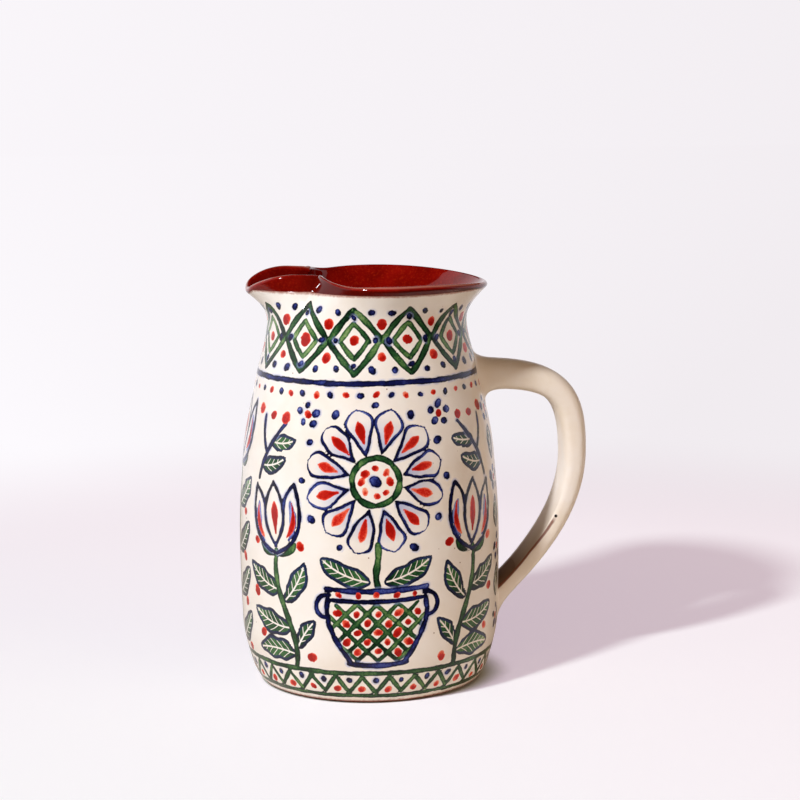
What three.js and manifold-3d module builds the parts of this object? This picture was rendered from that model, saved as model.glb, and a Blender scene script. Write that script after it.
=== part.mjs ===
// A hand-thrown earthenware jug with a pulled pouring lip and a strap handle, in millimetres, +Z up.
// Red clay body, white slip coat outside, clear glaze lining inside and over the lip, and a pulled
// handle luted on at two joints. The origin is the centre of the base. The pouring lip points along
// -X and the handle along +X.
import * as THREE from 'three';
import Module from 'manifold-3d';

const wasm = await Module();
wasm.setup();

// Finished outside, from the foot up: the rise from one turn of the profile to the next, and its radius
const FOOT_RADIUS = 53.7;
const HEEL_RISE = 8;
const HEEL_RADIUS = 57.9;
const HIP_RISE = 22;
const HIP_RADIUS = 62.5;
const BELLY_RISE = 40;
const BELLY_RADIUS = 63.3;
const SHOULDER_RISE = 43;
const SHOULDER_RADIUS = 60.8;
const COLLAR_RISE = 37;
const COLLAR_RADIUS = 53.6;
const NECK_RISE = 26;
const NECK_RADIUS = 48.1;
const LIP_RISE = 18;
const LIP_RADIUS = 57.6;
const LIP_FLARE = 1.5;

// Clay: the floor, its turn into the wall, the wall and the thinned lip
const FLOOR_THICKNESS = 6;
const FLOOR_FILLET = 14;
const WALL_THICKNESS = 4.2;
const LIP_THICKNESS = 1.4;

// Slip coat and glaze lining, the clay that they leave bare, and the gap that each seated piece keeps
const COAT_THICKNESS = 0.6;
const SEAT_GAP = 0.3;
const BARE_FOOT = 1.2;
const BARE_LIP = 1.9;
const BARE_LIP_LEAST = 0.6;

// Pouring lip: a fold pinched in at each side of the beak, measured from the lip's circle and its level
const PINCH_ANGLE = 42;
const BEAK_SPREAD = 33;
const PINCH_SPREAD = 60;
const FOLD_SHARPNESS = 1.8;
const PINCH_DEPTH = 22;
const PINCH_CREST = 7.5;
const PINCH_RISE = 4.8;
const RISE_SPREAD = 36;
const BEAK_DROP = 4.3;
const BACK_ANGLE = 75;
const BACK_DROP = 3;
const PULL_EASE = 1.6;

// Strap handle: where its centre line leaves the wall, bulges and comes back, and its section
const UPPER_ROOT_DROP = 28.5;
const LOWER_ROOT_RISE = 37.5;
const HANDLE_REACH = 40.5;
const WIDEST_DROP = 40;
const UPPER_RUN = 40;
const BEND_ABOVE = 30;
const BEND_BELOW = 28;
const LOWER_RUN = 28;
const LOWER_ANGLE = 44;
const STRAP_WIDTH = 22;
const STRAP_THICKNESS_TOP = 15;
const STRAP_THICKNESS_END = 8.6;
const OUTER_SQUARENESS = 2.5;
const INNER_SQUARENESS = 3.6;

// Luting coils: soft clay worked into the corner round each root of the strap
const COIL_EDGE = 0.5;
const UPPER_COIL_LENGTH = 11;
const UPPER_COIL_OUTER = 6;
const UPPER_COIL_INNER = 7;
const LOWER_COIL_LENGTH = 13;
const LOWER_COIL_OUTER = 9;
const LOWER_COIL_INNER = 2;

// Facets: columns from the beak to a pinch, on to the end of its fold and on to the handle, rows and sides
const BEAK_COLUMNS = 7;
const FOLD_COLUMNS = 8;
const BACK_COLUMNS = 9;
const ROWS_PER_TURN = 2;
const FLARE_ROWS = 5;
const LIP_ROWS = 4;
const FILLET_ROWS = 3;
const SECTION_SIDES = 16;
const STRAP_STEPS = 24;
const COIL_STEPS = 6;

// Small step for the direction of a surface, and how often a search halves its range
const PROBE_STEP = 0.05;
const HALVINGS = 30;

const { clamp, degToRad, lerp, smoothstep } = THREE.MathUtils;
const evenly = (count, make) => Array.from({ length: count }, (_, i) => make(i));

// Last place between two bounds at which a condition still holds, found by halving
function lastWhere(holds, from, to) {
  let low = from;
  let high = to;
  for (let i = 0; i < HALVINGS; i++) {
    const middle = (low + high) / 2;
    if (holds(middle)) low = middle;
    else high = middle;
  }
  return low;
}

// Turns of the profile as [height, radius]
const HEEL_Z = HEEL_RISE;
const HIP_Z = HEEL_Z + HIP_RISE;
const BELLY_Z = HIP_Z + BELLY_RISE;
const SHOULDER_Z = BELLY_Z + SHOULDER_RISE;
const COLLAR_Z = SHOULDER_Z + COLLAR_RISE;
const NECK_Z = COLLAR_Z + NECK_RISE;
const LIP_Z = NECK_Z + LIP_RISE;
const TURNS = [
  [0, FOOT_RADIUS],
  [HEEL_Z, HEEL_RADIUS],
  [HIP_Z, HIP_RADIUS],
  [BELLY_Z, BELLY_RADIUS],
  [SHOULDER_Z, SHOULDER_RADIUS],
  [COLLAR_Z, COLLAR_RADIUS],
  [NECK_Z, NECK_RADIUS],
  [LIP_Z, LIP_RADIUS],
];

// Slopes of a monotone cubic through the turns: level at the belly and the neck, flared at the lip
const secants = TURNS.slice(1).map(([z, r], i) => (r - TURNS[i][1]) / (z - TURNS[i][0]));
const slopes = TURNS.map((turn, i) => {
  if (i === 0) return secants[0];
  if (i === secants.length) return secants[i - 1] * LIP_FLARE;
  const product = secants[i - 1] * secants[i];
  return product > 0 ? (2 * product) / (secants[i - 1] + secants[i]) : 0;
});

// Radius of the finished outside at a height, before the lip is pulled
function profileRadius(z) {
  const above = TURNS.findIndex(([turnZ], i) => i > 0 && z <= turnZ);
  const i = (above < 0 ? TURNS.length - 1 : above) - 1;
  const [z0, r0] = TURNS[i];
  const [z1, r1] = TURNS[i + 1];
  const t = (z - z0) / (z1 - z0);
  const leave = t * (1 - t) * (1 - t) * slopes[i];
  const arrive = t * t * (t - 1) * slopes[i + 1];
  return lerp(r0, r1, t * t * (3 - 2 * t)) + (z1 - z0) * (leave + arrive);
}

// How far the pull moves the lip out and up at an angle from the beak, in degrees
function lipPull(angle) {
  const beyond = angle - PINCH_ANGLE;
  const share = beyond < 0 ? 1 + beyond / BEAK_SPREAD : 1 - beyond / PINCH_SPREAD;
  const fold = Math.max(0, share) ** FOLD_SHARPNESS;
  const rise = lerp(-BEAK_DROP, PINCH_RISE, smoothstep(angle, 0, PINCH_ANGLE - PINCH_CREST));
  const fall = PINCH_RISE * smoothstep(beyond, 0, RISE_SPREAD);
  const back = BACK_DROP * smoothstep(angle, 180 - BACK_ANGLE, 180);
  return { out: -PINCH_DEPTH * fold, up: rise - fall - back };
}

function levelPoint(angle, radius, z) {
  const turn = degToRad(angle);
  return new THREE.Vector3(-radius * Math.cos(turn), -radius * Math.sin(turn), z);
}

// Point of the finished outside at an angle from the beak and a height up the unpulled wall
function outside(angle, z) {
  const share = Math.max(0, (z - NECK_Z) / LIP_RISE) ** PULL_EASE;
  const pull = lipPull(Math.abs(angle));
  return levelPoint(angle, profileRadius(z) + share * pull.out, z + share * pull.up);
}

// Outward direction and the way up the wall at a point of the outside
function wallFrame(angle, z) {
  const up = outside(angle, z + PROBE_STEP).sub(outside(angle, z - PROBE_STEP)).normalize();
  const along = outside(angle + PROBE_STEP, z).sub(outside(angle - PROBE_STEP, z)).normalize();
  return { up, out: along.cross(up).normalize() };
}

// Point at a depth under the outside
function under(angle, z, depth) {
  return outside(angle, z).addScaledVector(wallFrame(angle, z).out, -depth);
}

// Height up the unpulled wall at which the outside reaches the slip line
function slipTop(angle) {
  const edge = outside(angle, LIP_Z).z;
  const line = Math.min(LIP_Z - BARE_LIP, edge - BARE_LIP_LEAST);
  return lastWhere((z) => outside(angle, z).z < line, NECK_Z, LIP_Z);
}

// Columns from the beak round to the handle and back, closer together at the pinches. Each has its
// own row heights: level rows from the bare foot to the neck, then even steps to the slip line
const PINCH_END = PINCH_ANGLE + PINCH_SPREAD;
const halfTurn = [
  ...evenly(BEAK_COLUMNS, (i) => (PINCH_ANGLE * i) / BEAK_COLUMNS),
  ...evenly(FOLD_COLUMNS, (i) => lerp(PINCH_ANGLE, PINCH_END, i / FOLD_COLUMNS)),
  ...evenly(BACK_COLUMNS, (i) => lerp(PINCH_END, 180, i / BACK_COLUMNS)),
];
const ANGLES = [...halfTurn, 180, ...halfTurn.slice(1).reverse().map((angle) => -angle)];
const turnRows = TURNS.slice(1, -1).flatMap(([z], i) => (
  evenly(ROWS_PER_TURN, (k) => lerp(TURNS[i][0], z, (k + 1) / ROWS_PER_TURN))
));
const LEVEL_ROWS = [BARE_FOOT, ...turnRows.filter((z) => z > BARE_FOOT)];
const ring = (place) => ANGLES.map(place);
const flareHeight = (angle, row) => lerp(NECK_Z, slipTop(angle), (row + 1) / FLARE_ROWS);

// Rings up the wall above a height, at a depth that may change with the height
function wallRings(depthAt, from = 0) {
  const level = LEVEL_ROWS.filter((z) => z > from).map((z) => ring((angle) => under(angle, z, depthAt(z))));
  const flare = evenly(FLARE_ROWS, (row) => ring((angle) => {
    const z = flareHeight(angle, row);
    return under(angle, z, depthAt(z));
  }));
  return [...level, ...flare];
}

// Depths of the clay's two faces under the finished outside
const CLAY_OUTER = COAT_THICKNESS + SEAT_GAP;
const clayThickness = (z) => lerp(WALL_THICKNESS, LIP_THICKNESS, smoothstep(z, COLLAR_Z, LIP_Z));
const clayInner = (z) => CLAY_OUTER + clayThickness(z);

// Rings over the rounded lip, grown by a margin from the clay's half-round, from outside to inside
function lipRings(margin) {
  const middle = CLAY_OUTER + LIP_THICKNESS / 2;
  const radius = LIP_THICKNESS / 2 + margin;
  return evenly(LIP_ROWS + 1, (i) => {
    const turn = (Math.PI * i) / LIP_ROWS;
    return ring((angle) => under(angle, LIP_Z, middle - radius * Math.cos(turn))
      .addScaledVector(wallFrame(angle, LIP_Z).up, radius * Math.sin(turn)));
  });
}

// Rings down the inside, grown by a margin from the clay's inner face, round the fillet to the floor
function insideRings(margin) {
  const filletTop = FLOOR_THICKNESS + FLOOR_FILLET;
  const wall = wallRings((z) => clayInner(z) + margin, filletTop).reverse();
  const filletCentre = profileRadius(filletTop) - clayInner(filletTop) - FLOOR_FILLET;
  const fillet = evenly(FILLET_ROWS + 1, (i) => {
    const turn = (Math.PI / 2) * (i / FILLET_ROWS);
    const radius = filletCentre + (FLOOR_FILLET - margin) * Math.cos(turn);
    return ring((angle) => levelPoint(angle, radius, filletTop - (FLOOR_FILLET - margin) * Math.sin(turn)));
  });
  return [...wall, ...fillet];
}

// Closed mesh through rings of equal length. It ends on a pole at each end, or joins last ring to first.
// Each four-sided patch is split along its shorter diagonal, so that the layers of the wall run parallel
function loft(rings, poles) {
  const count = rings[0].length;
  const points = rings.flat();
  const triangles = [];
  const bands = poles ? rings.length - 1 : rings.length;
  for (let i = 0; i < bands; i++) {
    const a = i * count;
    const b = ((i + 1) % rings.length) * count;
    for (let k = 0; k < count; k++) {
      const next = (k + 1) % count;
      const rising = points[a + k].distanceTo(points[b + next]);
      const falling = points[a + next].distanceTo(points[b + k]);
      if (rising < falling) triangles.push(a + k, a + next, b + next, a + k, b + next, b + k);
      else triangles.push(a + k, a + next, b + k, a + next, b + next, b + k);
    }
  }
  if (poles) {
    const last = (rings.length - 1) * count;
    for (let k = 0; k < count; k++) {
      const next = (k + 1) % count;
      triangles.push(points.length, next, k);
      triangles.push(points.length + 1, last + k, last + next);
    }
    points.push(...poles);
  }
  return closedGeometry(points, triangles);
}

// Geometry whose faces point out: the triangles are turned round if they enclose a negative volume
function closedGeometry(points, triangles) {
  let volume = 0;
  for (let i = 0; i < triangles.length; i += 3) {
    const [a, b, c] = triangles.slice(i, i + 3).map((index) => points[index]);
    volume += a.dot(b.clone().cross(c));
  }
  const geometry = new THREE.BufferGeometry().setFromPoints(points);
  geometry.setIndex(volume > 0 ? triangles : triangles.reverse());
  return geometry;
}

function solidOf(geometry) {
  const vertProperties = new Float32Array(geometry.attributes.position.array);
  const triVerts = new Uint32Array(geometry.index.array);
  return new wasm.Manifold(new wasm.Mesh({ numProp: 3, vertProperties, triVerts }));
}

function geometryOf(solid) {
  const { vertProperties, triVerts } = solid.getMesh();
  const geometry = new THREE.BufferGeometry();
  geometry.setAttribute('position', new THREE.BufferAttribute(new Float32Array(vertProperties), 3));
  geometry.setIndex(new THREE.BufferAttribute(new Uint32Array(triVerts), 1));
  return geometry;
}

const onAxis = (z) => new THREE.Vector3(0, 0, z);
const baseRing = (depth) => ring((angle) => levelPoint(angle, FOOT_RADIUS - depth, 0));

// Thrown body: floor, wall and lip in one piece of red clay
function thrownBody() {
  const outer = [baseRing(CLAY_OUTER), ...wallRings(() => CLAY_OUTER)];
  const inner = [...lipRings(0), ...insideRings(0)];
  return loft([...outer, ...inner], [onAxis(0), onAxis(FLOOR_THICKNESS)]);
}

// Glaze lining: from the slip line over the lip, down the inside and across the floor
function glazeLining() {
  const face = (edgeDepth, margin) => [
    ring((angle) => under(angle, slipTop(angle) + SEAT_GAP, edgeDepth)),
    ...lipRings(margin),
    ...insideRings(margin),
  ];
  const hidden = face(COAT_THICKNESS, SEAT_GAP);
  const shown = face(0, CLAY_OUTER);
  const poles = [onAxis(FLOOR_THICKNESS + SEAT_GAP), onAxis(FLOOR_THICKNESS + CLAY_OUTER)];
  return loft([...hidden.reverse(), ...shown], poles);
}

// Slip coat: a skin from the bare foot to the slip line, open where the handle is luted to the clay
function slipCoat(windows) {
  const skin = loft([...wallRings(() => 0), ...wallRings(() => COAT_THICKNESS).reverse()]);
  return geometryOf(windows.reduce((coat, window) => coat.subtract(window), solidOf(skin)));
}

// Solid that fills the clay's outside and the seat gap round it, to trim what stands on the wall
function seatEnvelope() {
  const rings = [baseRing(COAT_THICKNESS), ...wallRings(() => COAT_THICKNESS)];
  return solidOf(loft(rings, [onAxis(0), onAxis(LIP_Z)]));
}

// Centre line of the strap: out of the wall, over the bend, down and back in. A straight stub inside
// the wall at each end is trimmed off by the seat
const inPlane = (x, z) => new THREE.Vector3(x, 0, z);
const onWall = (z, reach) => inPlane(profileRadius(z) + reach, z);
const shifted = (point, way, length) => point.clone().addScaledVector(way, length);
const UPPER_ROOT_Z = NECK_Z - UPPER_ROOT_DROP;
const upperRoot = onWall(UPPER_ROOT_Z, 0);
const lowerRoot = onWall(LOWER_ROOT_RISE, 0);
const widest = onWall(UPPER_ROOT_Z - WIDEST_DROP, HANDLE_REACH);
const upperWay = inPlane(1, 0);
const lowerWay = inPlane(Math.cos(degToRad(LOWER_ANGLE)), Math.sin(degToRad(LOWER_ANGLE)));
const upperBend = new THREE.CubicBezierCurve3(
  upperRoot,
  shifted(upperRoot, upperWay, UPPER_RUN),
  shifted(widest, inPlane(0, 1), BEND_ABOVE),
  widest,
);
const lowerBend = new THREE.CubicBezierCurve3(
  widest,
  shifted(widest, inPlane(0, -1), BEND_BELOW),
  shifted(lowerRoot, lowerWay, LOWER_RUN),
  lowerRoot,
);
const ROOT_STUB = STRAP_THICKNESS_TOP;
const strapPath = new THREE.CurvePath();
strapPath.add(new THREE.LineCurve3(shifted(upperRoot, upperWay, -ROOT_STUB), upperRoot));
strapPath.add(upperBend);
strapPath.add(lowerBend);
strapPath.add(new THREE.LineCurve3(lowerRoot, shifted(lowerRoot, lowerWay, -ROOT_STUB)));
const STRAP_LENGTH = upperBend.getLength() + lowerBend.getLength();

// Point of the strap's rounded section at a distance past the upper root, grown by a margin. Side 0 is
// in the middle of the outer face, and the sides go round by way of +Y. The inner face is the flatter one
const sideTurn = (side) => (2 * Math.PI * side) / SECTION_SIDES;
const squared = (value, squareness) => Math.sign(value) * Math.abs(value) ** (2 / squareness);
function strapPoint(distance, side, margin) {
  const share = clamp((distance + ROOT_STUB) / (STRAP_LENGTH + 2 * ROOT_STUB), 0, 1);
  const way = strapPath.getTangentAt(share);
  const thickness = lerp(STRAP_THICKNESS_TOP, STRAP_THICKNESS_END, clamp(distance / STRAP_LENGTH, 0, 1));
  const outward = Math.cos(sideTurn(side));
  const squareness = outward < 0 ? INNER_SQUARENESS : OUTER_SQUARENESS;
  const lift = (thickness / 2 + margin) * squared(outward, squareness);
  const point = shifted(strapPath.getPointAt(share), inPlane(-way.z, way.x), lift);
  point.y = (STRAP_WIDTH / 2 + margin) * squared(Math.sin(sideTurn(side)), squareness);
  return point;
}
const sideRing = (place) => evenly(SECTION_SIDES, place);

const middleOf = (points) => points.reduce((sum, point) => sum.add(point), new THREE.Vector3())
  .divideScalar(points.length);
const capped = (rings) => loft(rings, [middleOf(rings[0]), middleOf(rings.at(-1))]);

function handleStrap(envelope) {
  const steps = evenly(STRAP_STEPS + 1, (i) => (STRAP_LENGTH * i) / STRAP_STEPS);
  const distances = [-ROOT_STUB, ...steps, STRAP_LENGTH + ROOT_STUB];
  const strap = capped(distances.map((distance) => sideRing((side) => strapPoint(distance, side, 0))));
  return geometryOf(solidOf(strap).subtract(envelope));
}

// Luting coils: place measures from a root along the strap, and rise is the way up the wall in which the
// strap's outer face looks
const upperCoil = {
  place: (distance) => distance,
  rise: 1,
  length: UPPER_COIL_LENGTH,
  inner: UPPER_COIL_INNER,
  outer: UPPER_COIL_OUTER,
};
const lowerCoil = {
  place: (distance) => STRAP_LENGTH - distance,
  rise: -1,
  length: LOWER_COIL_LENGTH,
  inner: LOWER_COIL_INNER,
  outer: LOWER_COIL_OUTER,
};

// Distance from the root at which one side of the strap, grown by the coil's edge, comes out of the wall
const COIL_MARGIN = SEAT_GAP + COIL_EDGE;
const strapSide = (coil, side, distance) => strapPoint(coil.place(distance), side, COIL_MARGIN);
function comesOut(coil, side) {
  const buried = ({ x, y, z }) => Math.hypot(x, y) < profileRadius(z);
  return lastWhere((distance) => buried(strapSide(coil, side, distance)), -ROOT_STUB, ROOT_STUB);
}

// Foot of a coil on the wall: the strap's outline there, spread along the wall, sunk by a depth
function coilFoot(coil, side, spread, depth) {
  const corner = strapSide(coil, side, comesOut(coil, side));
  const outward = Math.cos(sideTurn(side));
  const flare = spread + lerp(coil.inner, coil.outer, (1 + outward) / 2);
  const y = corner.y + flare * Math.sin(sideTurn(side));
  const z = corner.z + flare * outward * coil.rise;
  return new THREE.Vector3(Math.sqrt(profileRadius(z) ** 2 - y * y) - depth, y, z);
}

// Coil round one root: a hollow curve from its foot on the wall to a thin edge on the strap
function lutingCoil(coil, envelope) {
  const hollow = (t) => sideRing((side) => {
    const root = comesOut(coil, side);
    const foot = coilFoot(coil, side, 0, 0);
    const corner = strapSide(coil, side, root);
    const end = strapSide(coil, side, root + coil.length);
    return new THREE.QuadraticBezierCurve3(foot, corner, end).getPoint(t);
  });
  const bore = (t) => sideRing((side) => {
    const distance = comesOut(coil, side) + lerp(-ROOT_STUB / 2, coil.length, t);
    return strapPoint(coil.place(distance), side, SEAT_GAP);
  });
  const rings = [
    sideRing((side) => coilFoot(coil, side, 0, WALL_THICKNESS)),
    ...evenly(COIL_STEPS + 1, (i) => hollow(i / COIL_STEPS)),
    ...evenly(COIL_STEPS + 1, (i) => bore(1 - i / COIL_STEPS)),
  ];
  return geometryOf(solidOf(loft(rings)).subtract(envelope));
}

// Opening in the slip coat round the foot of a coil, straight through the coat
function coilWindow(coil) {
  const through = [WALL_THICKNESS, -WALL_THICKNESS];
  return solidOf(capped(through.map((depth) => sideRing((side) => coilFoot(coil, side, SEAT_GAP, depth)))));
}

// Finishes
const redClay = { color: 0xa5512f, roughness: 0.85 };
const redGlaze = { color: 0x8b1a10, roughness: 0.15 };
const whiteSlip = { color: 0xf7ebdd, roughness: 0.2 };
const ivorySlip = { color: 0xf1e3cb, roughness: 0.25 };

const jug = new THREE.Group();
function addPiece(name, geometry, finish) {
  const piece = new THREE.Mesh(geometry, new THREE.MeshStandardMaterial({ metalness: 0, ...finish }));
  piece.name = name;
  jug.add(piece);
}

const envelope = seatEnvelope();
addPiece('thrown_body', thrownBody(), redClay);
addPiece('glaze_lining', glazeLining(), redGlaze);
addPiece('slip_coat', slipCoat([coilWindow(upperCoil), coilWindow(lowerCoil)]), whiteSlip);
addPiece('handle_strap', handleStrap(envelope), ivorySlip);
addPiece('upper_luting_coil', lutingCoil(upperCoil, envelope), ivorySlip);
addPiece('lower_luting_coil', lutingCoil(lowerCoil, envelope), ivorySlip);

export default jug;
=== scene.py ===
import math

import bpy
import numpy as np
from mathutils import Matrix, Vector


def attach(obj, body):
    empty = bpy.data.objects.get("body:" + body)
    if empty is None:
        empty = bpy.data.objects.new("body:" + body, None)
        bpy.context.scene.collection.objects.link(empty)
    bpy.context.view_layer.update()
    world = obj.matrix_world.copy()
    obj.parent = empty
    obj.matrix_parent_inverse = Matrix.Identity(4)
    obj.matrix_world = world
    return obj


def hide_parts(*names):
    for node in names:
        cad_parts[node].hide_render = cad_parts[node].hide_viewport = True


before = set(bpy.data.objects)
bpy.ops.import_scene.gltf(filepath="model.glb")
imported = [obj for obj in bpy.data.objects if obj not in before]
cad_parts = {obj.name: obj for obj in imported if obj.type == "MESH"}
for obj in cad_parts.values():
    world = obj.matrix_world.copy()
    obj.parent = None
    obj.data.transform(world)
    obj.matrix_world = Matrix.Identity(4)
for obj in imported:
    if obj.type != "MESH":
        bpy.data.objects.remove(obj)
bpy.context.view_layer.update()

# Thrown body
# Floor, wall and rim in one piece of red earthenware, thrown as a body of revolution. While the clay is
# soft, the rim is pinched in at two places and the beak is pulled out between them. Under the coats only
# its foot stays bare.
MM = 0.001
TURN_HEIGHTS = np.array([0, 8, 30, 70, 113, 150, 176, 194.0])
TURN_RADII = np.array([53.7, 57.9, 62.5, 63.3, 60.8, 53.6, 48.1, 57.6])
COLLAR_Z, NECK_Z, LIP_Z = TURN_HEIGHTS[-3:]
LIP_FLARE = 1.5
COLUMNS = 480
ROWS = 400
FLOOR_THICKNESS = 6
FLOOR_FILLET = 14
FILLET_TOP = FLOOR_THICKNESS + FLOOR_FILLET
WALL_THICKNESS = 4.2
LIP_THICKNESS = 1.4
COAT_DEPTH = 0.9
COAT_BACK = 0.45
CLAY_PROUD = COAT_DEPTH - COAT_BACK
FOOT_BEVEL = 1.7
FOOT_RINGS, OUTER_RINGS, LIP_RINGS, INNER_RINGS, FLOOR_RINGS = 6, 60, 8, 50, 6
SHARP_ANGLE = math.radians(50)

secants = np.diff(TURN_RADII) / np.diff(TURN_HEIGHTS)
products = secants[:-1] * secants[1:]
inner_slopes = np.where(products > 0, 2 * products / (secants[:-1] + secants[1:]), 0)
slopes = np.concatenate([secants[:1], inner_slopes, secants[-1:] * LIP_FLARE])


def wall_radius(z):
    """Radius of the unpulled outside: a monotone cubic through the turns."""
    i = np.clip(np.searchsorted(TURN_HEIGHTS, z, "right") - 1, 0, len(secants) - 1)
    span = np.diff(TURN_HEIGHTS)[i]
    t = (z - TURN_HEIGHTS[i]) / span
    blend = TURN_RADII[i] + (TURN_RADII[i + 1] - TURN_RADII[i]) * t * t * (3 - 2 * t)
    return blend + span * (t * (1 - t) ** 2 * slopes[i] + t * t * (t - 1) * slopes[i + 1])


def wire(tree, node, inputs):
    """Fills inputs of a node, by name or number, with values or links."""
    for key, value in inputs.items():
        named = [s for s in node.inputs if s.enabled and s.name == key]
        socket = node.inputs[key] if isinstance(key, int) else named[0]
        if isinstance(value, bpy.types.Node):
            value = next(s for s in value.outputs if s.enabled)
        if isinstance(value, bpy.types.NodeSocket):
            tree.links.new(value, socket)
        else:
            socket.default_value = value
    return node


def add(tree, kind, inputs=None, stops=(), **settings):
    """Adds a node with its settings, colour stops and inputs."""
    node = tree.nodes.new(kind)
    for name, value in settings.items():
        setattr(node, name, value)
    for i, (position, colour) in enumerate(stops):
        elements = node.color_ramp.elements
        stop = elements[i] if i < len(elements) else elements.new(position)
        stop.position = position
        stop.color = linear(colour)
    return wire(tree, node, inputs or {})


def linear(colour):
    """An sRGB hex colour as linear red, green, blue and alpha."""
    shares = [int(colour[i:i + 2], 16) / 255 for i in (1, 3, 5)]
    return [s / 12.92 if s <= 0.04045 else ((s + 0.055) / 1.055) ** 2.4 for s in shares] + [1]


def calc(tree, operation, *values):
    """A Math node on numbers and links."""
    return add(tree, "ShaderNodeMath", dict(enumerate(values)), operation=operation)


def times(tree, first, *factors):
    """The product of numbers and links."""
    for factor in factors:
        first = calc(tree, "MULTIPLY", first, factor)
    return first


def ranged(tree, value, start, end, low=0, high=1, eased=False):
    """A value between a start and an end, carried over to a low and a high and clamped."""
    return add(tree, "ShaderNodeMapRange", {"Value": value, 1: start, 2: end, 3: low, 4: high},
               interpolation_type="SMOOTHSTEP" if eased else "LINEAR")


def mixed(tree, share, first, second):
    """A mix of two colours, each given as hex, as a linear colour or as a link."""
    first, second = (linear(c) if isinstance(c, str) else c for c in (first, second))
    return add(tree, "ShaderNodeMix", {"Factor": share, "A": first, "B": second}, data_type="RGBA")


def noise(tree, place, size, detail, **more):
    """Soft noise with patches of about a size in millimetres."""
    inputs = {"Vector": place, "Scale": 1 / (size * MM), "Detail": detail}
    return add(tree, "ShaderNodeTexNoise", inputs | more)


def ramp(tree, share, stops):
    """A colour ramp through stops, each a position and a hex colour."""
    return add(tree, "ShaderNodeValToRGB", {"Fac": share}, stops)


def bumped(tree, height, strength, depth):
    """A bumped normal, with the depth in millimetres."""
    return add(tree, "ShaderNodeBump", {"Height": height, "Strength": strength, "Distance": depth * MM})


def axes_of(tree, place):
    """The X, Y and Z of a vector."""
    return add(tree, "ShaderNodeSeparateXYZ", {"Vector": place}).outputs


def shaded(tree, colour, roughness, normal, specular):
    """Sets what the surface of a material is like."""
    wire(tree, tree.nodes["Principled BSDF"], {
        "Base Color": colour, "Roughness": roughness, "Normal": normal, "IOR": 1.5,
        "Specular IOR Level": specular})


def new_material(name):
    """A material, its tree, and the object's own coordinates there."""
    material = bpy.data.materials.new(name)
    material.use_nodes = True
    tree = material.node_tree
    return material, tree, add(tree, "ShaderNodeTexCoord").outputs["Object"]


SOCKETS = {int: "Int", float: "Float", bpy.types.Material: "Material", bpy.types.Object: "Object"}


def new_tree(name, sizes):
    """A geometry tree with an input for each size, and the sockets that give them."""
    tree = bpy.data.node_groups.new(name, "GeometryNodeTree")
    for in_out in ("OUTPUT", "INPUT"):
        tree.interface.new_socket("Geometry", in_out=in_out, socket_type="NodeSocketGeometry")
    for label, value in sizes.items():
        kind = next(kind for sort, kind in SOCKETS.items() if isinstance(value, sort))
        tree.interface.new_socket(label, in_out="INPUT", socket_type="NodeSocket" + kind)
    return tree, tree.nodes.new("NodeGroupInput").outputs


def end_tree(tree, geometry, given):
    """The end of a tree: instances are made real and take the material."""
    whole = add(tree, "GeometryNodeRealizeInstances", {"Geometry": geometry})
    finished = add(tree, "GeometryNodeSetMaterial", {"Geometry": whole, "Material": given["Material"]})
    add(tree, "NodeGroupOutput", {"Geometry": finished})


def new_sheet(tree, columns, rows):
    """A grid, and the column and row of each of its points."""
    sheet = add(tree, "GeometryNodeMeshGrid", {"Vertices X": columns, "Vertices Y": rows})
    inputs = {0: add(tree, "GeometryNodeInputIndex"), 1: rows}
    column, row = (add(tree, "FunctionNodeIntegerMath", inputs, operation=operation)
                   for operation in ("DIVIDE_FLOOR", "MODULO"))
    return sheet, column, row


def sampled(tree, geometry, value, index, kind="FLOAT_VECTOR"):
    """A value of another geometry at the point with an index."""
    inputs = {"Geometry": geometry, "Value": value, "Index": index}
    return add(tree, "GeometryNodeSampleIndex", inputs, data_type=kind)


def linked(name, data):
    """An object with its data, in the scene."""
    item = bpy.data.objects.new(name, data)
    bpy.context.scene.collection.objects.link(item)
    return item


def grown(name, source, tree, sizes):
    """Runs a tree on a mesh or curve and returns what it makes as a plain mesh."""
    seed = linked(name, source)
    modifier = seed.modifiers.new(tree.name, "NODES")
    modifier.node_group = tree
    for socket in tree.interface.items_tree:
        if socket.in_out == "INPUT" and socket.name in sizes:
            modifier[socket.identifier] = sizes[socket.name]
    shown = bpy.context.evaluated_depsgraph_get()
    mesh = bpy.data.meshes.new_from_object(
        seed.evaluated_get(shown), preserve_all_data_layers=True, depsgraph=shown)
    seed.modifiers.remove(modifier)
    bpy.data.objects.remove(seed)
    return mesh


def points_of(mesh):
    """Points of a mesh as rows of an array."""
    points = np.empty(len(mesh.vertices) * 3, np.float32)
    mesh.vertices.foreach_get("co", points)
    return points.reshape(-1, 3).astype(float)


def unit(vectors):
    """Vectors scaled to a length of one."""
    return vectors / np.linalg.norm(vectors, axis=-1, keepdims=True)


# Bare fired red earthenware: a matt, gritty terracotta in soft clouds, with darker iron specks
red_earthenware, clay, place = new_material("red_earthenware")
grit = noise(clay, place, 0.9, 4)
flesh = ramp(clay, noise(clay, place, 14, 3), [(0.3, "#8A3A20"), (0.7, "#B0583A")])
flesh = mixed(clay, ranged(clay, grit, 0.62, 0.72), flesh, "#5A2415")
shaded(clay, flesh, 0.85, bumped(clay, grit, 0.5, 0.1), specular=0.5)

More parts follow.
